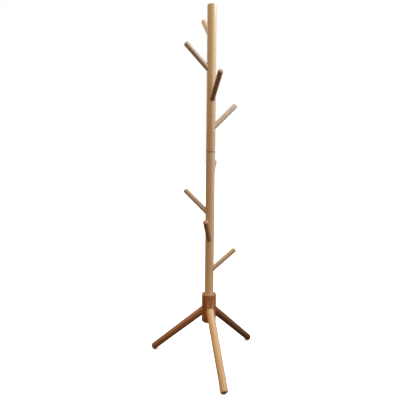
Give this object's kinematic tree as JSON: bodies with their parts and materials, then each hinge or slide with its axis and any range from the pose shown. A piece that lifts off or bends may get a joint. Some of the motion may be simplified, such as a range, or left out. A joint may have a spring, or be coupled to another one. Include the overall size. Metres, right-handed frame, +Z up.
{
  "type": "standing coat rack",
  "caption": "Free-standing coat rack: a round wooden pole in two screwed sections, slanting round pegs set around it, and a turned hub with splayed, tapered legs.",
  "frame": {"origin": "on the pole's axis, in the plane of the floor", "axes": "+Z up along the pole; the front leg points along -Y, the other two at 30 and 150 degrees from +X"},
  "size_m": [0.5668, 0.4957, 1.75],
  "materials": {
    "pole_wood": "satin clear lacquer on light hardwood",
    "peg_wood": "satin clear lacquer on light hardwood",
    "leg_wood": "satin clear lacquer on light hardwood",
    "hub_wood": "satin clear lacquer on light hardwood, a little redder than the pole",
    "zinc_steel": "bright zinc plate",
    "insert_brass": "plain machined brass",
    "felt": "pressed brown wool felt"
  },
  "bodies": {
    "root": {"upper_pole": "pole_wood", "lower_pole": "pole_wood", "base_hub": "hub_wood", "front_leg": "leg_wood", "front_foot_pad": "felt", "left_leg": "leg_wood", "left_foot_pad": "felt", "right_leg": "leg_wood", "right_foot_pad": "felt", "upper_back_peg": "peg_wood", "upper_left_peg": "peg_wood", "upper_front_peg": "peg_wood", "upper_right_peg": "peg_wood", "lower_back_peg": "peg_wood", "lower_left_peg": "peg_wood", "lower_front_peg": "peg_wood", "lower_right_peg": "peg_wood", "peg_hanger_bolts": "zinc_steel", "leg_hanger_bolts": "zinc_steel", "pole_joint_bolt": "zinc_steel", "hub_bolt": "zinc_steel", "hub_washer": "zinc_steel", "peg_inserts": "insert_brass", "leg_inserts": "insert_brass", "pole_joint_insert": "insert_brass", "lower_pole_insert": "insert_brass"}
  },
  "joints": []
}
